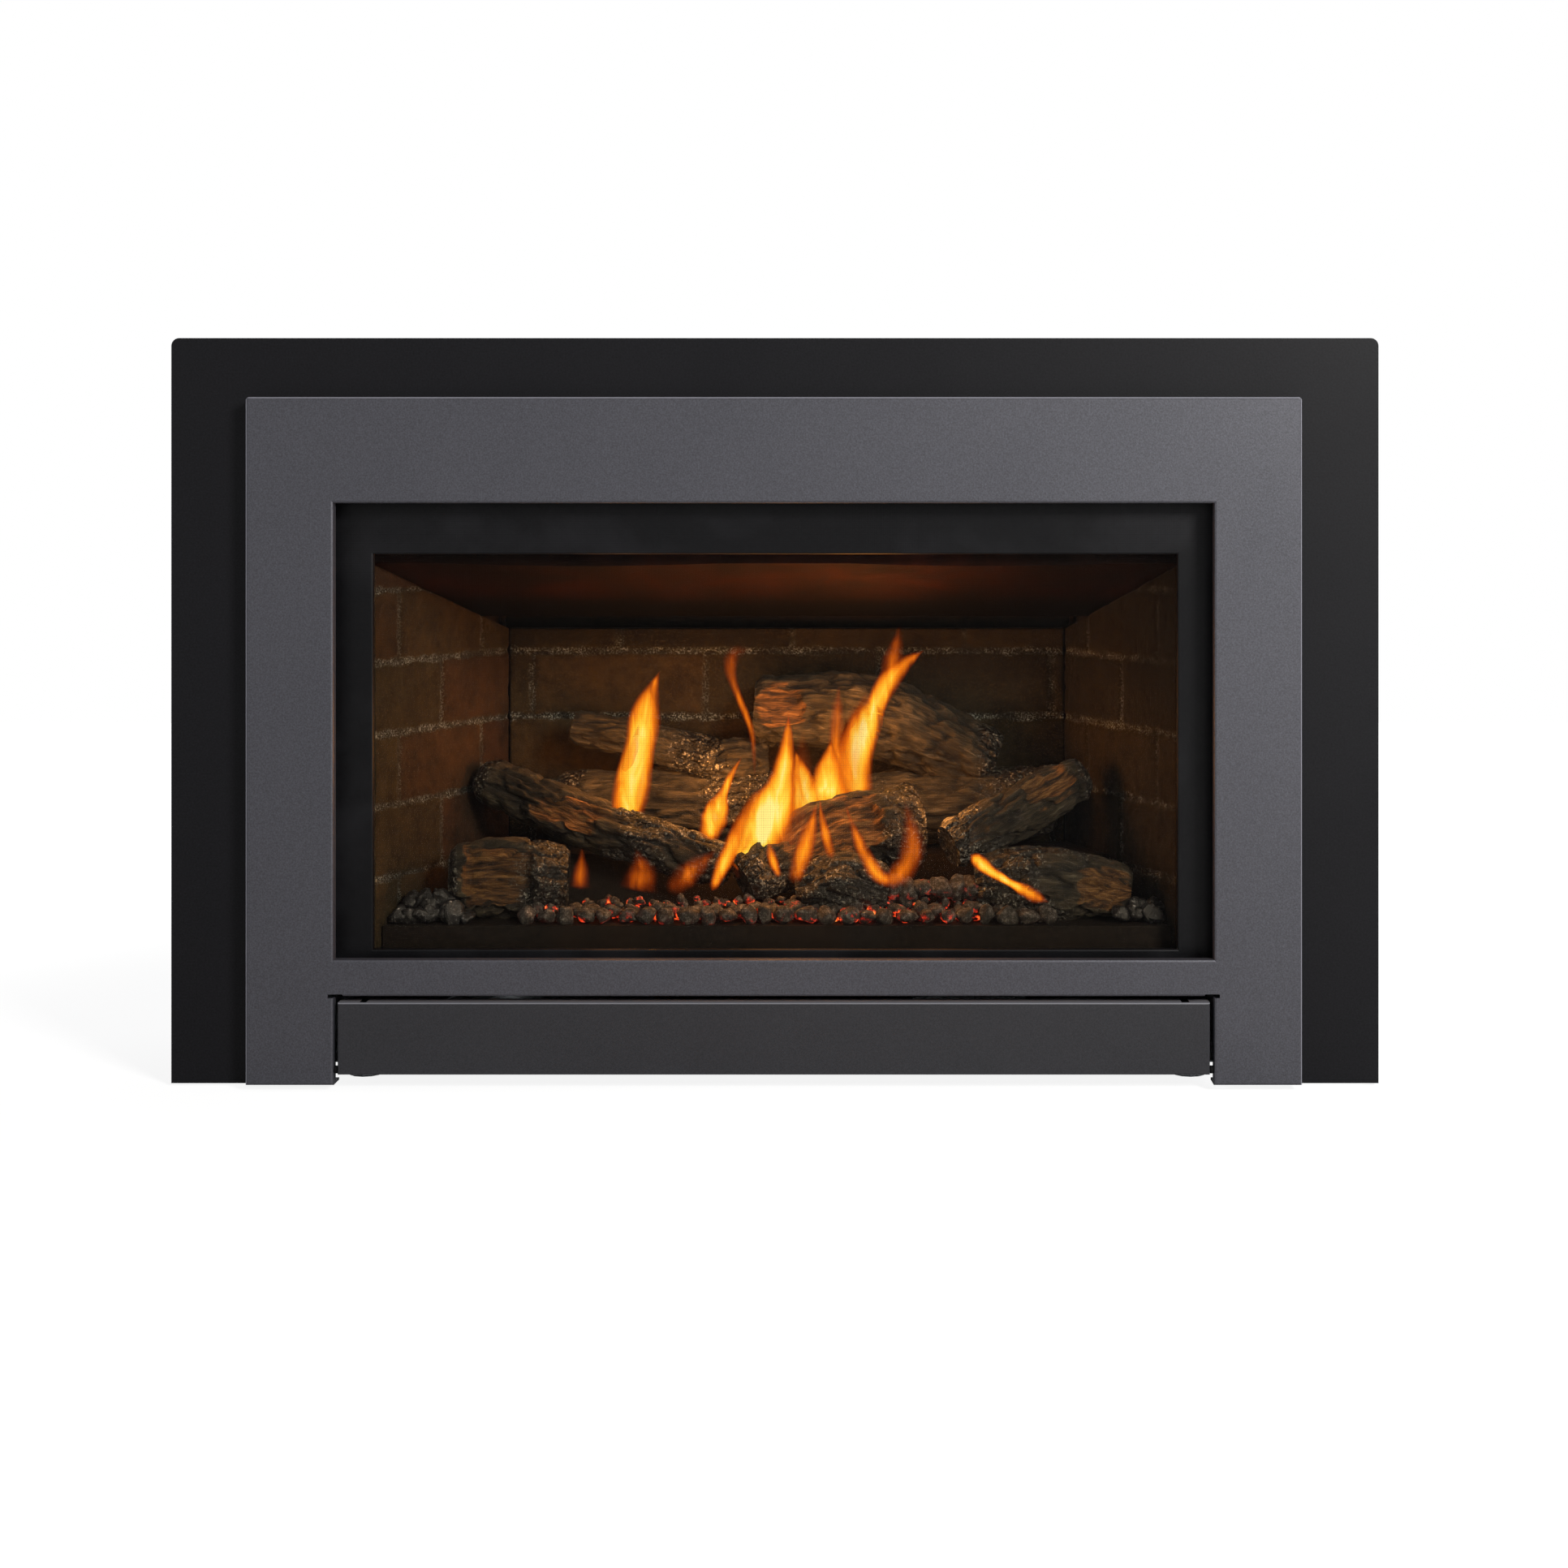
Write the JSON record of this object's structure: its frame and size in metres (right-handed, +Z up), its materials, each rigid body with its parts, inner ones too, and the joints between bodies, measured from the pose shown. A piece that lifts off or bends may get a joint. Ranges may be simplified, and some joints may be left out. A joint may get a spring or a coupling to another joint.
{
  "type": "fireplace insert",
  "caption": "Gas fireplace insert with backer frame, overlay with drop-down control door, brick-lined firebox, ceramic logs and two top vent collars.",
  "frame": {"origin": "middle of the insert's bounding box, at the level of the feet", "axes": "+X to the right seen from the room, +Y into the fireplace, +Z up"},
  "size_m": [1.067, 0.444, 0.661],
  "materials": {
    "backer_coat": "near-black satin powder coat",
    "overlay_coat": "grey metallic powder coat",
    "door_coat": "dark grey powder coat",
    "frame_coat": "satin black high-temperature paint",
    "screen": "black woven wire",
    "steel": "galvanised steel sheet",
    "glass": "clear ceramic glass",
    "rope": "glass-fibre rope",
    "brick": "moulded fibre brick panel with grey mortar",
    "stove": "matt high-temperature black",
    "log": "ceramic-fibre log, painted bark",
    "ember": "glowing ember stones",
    "lava": "black lava rock",
    "plastic": "black moulded plastic",
    "brass": "forged brass",
    "aluminium": "die-cast aluminium"
  },
  "bodies": {
    "insert": {"backer_frame": "backer_coat", "glass_frame": "frame_coat", "casing_flange": "steel", "casing_base": "steel", "casing_left": "steel", "casing_right": "steel", "casing_back": "steel", "casing_top": "steel", "levelling_foot_1": "steel", "levelling_foot_2": "steel", "levelling_foot_3": "steel", "levelling_foot_4": "steel", "exhaust_collar": "steel", "intake_collar": "steel", "flue_box": "steel", "switch_panel": "steel", "blower_housing": "steel", "burner_tube": "steel", "pilot_burner": "steel", "ceramic_glass": "glass", "glass_gasket": "rope", "brick_panel_left": "brick", "brick_panel_right": "brick", "brick_panel_back": "brick", "firebox_face": "stove", "firebox_floor": "stove", "firebox_left": "stove", "firebox_right": "stove", "firebox_back": "stove", "firebox_roof": "stove", "roof_baffle": "stove", "burner_pan": "stove", "ember_bed": "ember", "lava_rocks_left": "lava", "lava_rocks_right": "lava", "log_rear_base": "log", "log_front_left": "log", "log_front_right": "log", "log_front_centre": "log", "log_centre": "log", "log_cross_left": "log", "log_rear_left": "log", "log_rear_top": "log", "log_cross_right": "log", "control_module": "plastic", "shutoff_valve": "brass", "gas_valve": "aluminium"},
    "overlay": {"overlay_frame": "overlay_coat", "barrier_screen_frame": "screen", "barrier_screen_mesh": "screen", "door_hinge_pin_left": "steel", "door_hinge_pin_right": "steel"},
    "control_door": {"control_door": "door_coat"},
    "glass_latch_left": {"glass_latch_left": "steel"},
    "glass_latch_right": {"glass_latch_right": "steel"},
    "flame_knob": {"flame_knob": "plastic"},
    "fan_speed_knob": {"fan_speed_knob": "plastic"},
    "rocker_switch": {"rocker_switch": "plastic"},
    "shutoff_lever": {"shutoff_lever": "steel"},
    "blower_wheel": {"blower_wheel": "aluminium"}
  },
  "joints": [
    {"name": "overlay_lift", "type": "slide", "parent": "insert", "child": "overlay", "axis": [0, 0, 1], "range_m": [0, 0.018]},
    {"name": "control_door_hinge", "type": "hinge", "parent": "overlay", "child": "control_door", "pos_m": [0, -0.2175, 0.0189], "axis": [1, 0, 0], "range_deg": [0, 90]},
    {"name": "glass_latch_left_hinge", "type": "hinge", "parent": "insert", "child": "glass_latch_left", "pos_m": [-0.25, -0.184, 0.534], "axis": [1, 0, 0], "range_deg": [-35, 0]},
    {"name": "glass_latch_right_hinge", "type": "hinge", "parent": "insert", "child": "glass_latch_right", "pos_m": [0.25, -0.184, 0.534], "axis": [1, 0, 0], "range_deg": [-35, 0]},
    {"name": "flame_knob_turn", "type": "hinge", "parent": "insert", "child": "flame_knob", "pos_m": [0.168, -0.158, 0.05], "axis": [0, -1, 0], "range_deg": [-180, 0]},
    {"name": "fan_knob_turn", "type": "hinge", "parent": "insert", "child": "fan_speed_knob", "pos_m": [-0.215, -0.178, 0.048], "axis": [0, -1, 0], "range_deg": [-270, 0]},
    {"name": "rocker_tilt", "type": "hinge", "parent": "insert", "child": "rocker_switch", "pos_m": [-0.246, -0.172, 0.048], "axis": [1, 0, 0], "range_deg": [-8, 8]},
    {"name": "shutoff_turn", "type": "hinge", "parent": "insert", "child": "shutoff_lever", "pos_m": [-0.07, -0.143, 0.052], "axis": [0, -1, 0], "range_deg": [0, 90]},
    {"name": "blower_spin", "type": "hinge", "parent": "insert", "child": "blower_wheel", "pos_m": [0, 0.128, 0.066], "axis": [1, 0, 0], "continuous": true}
  ]
}
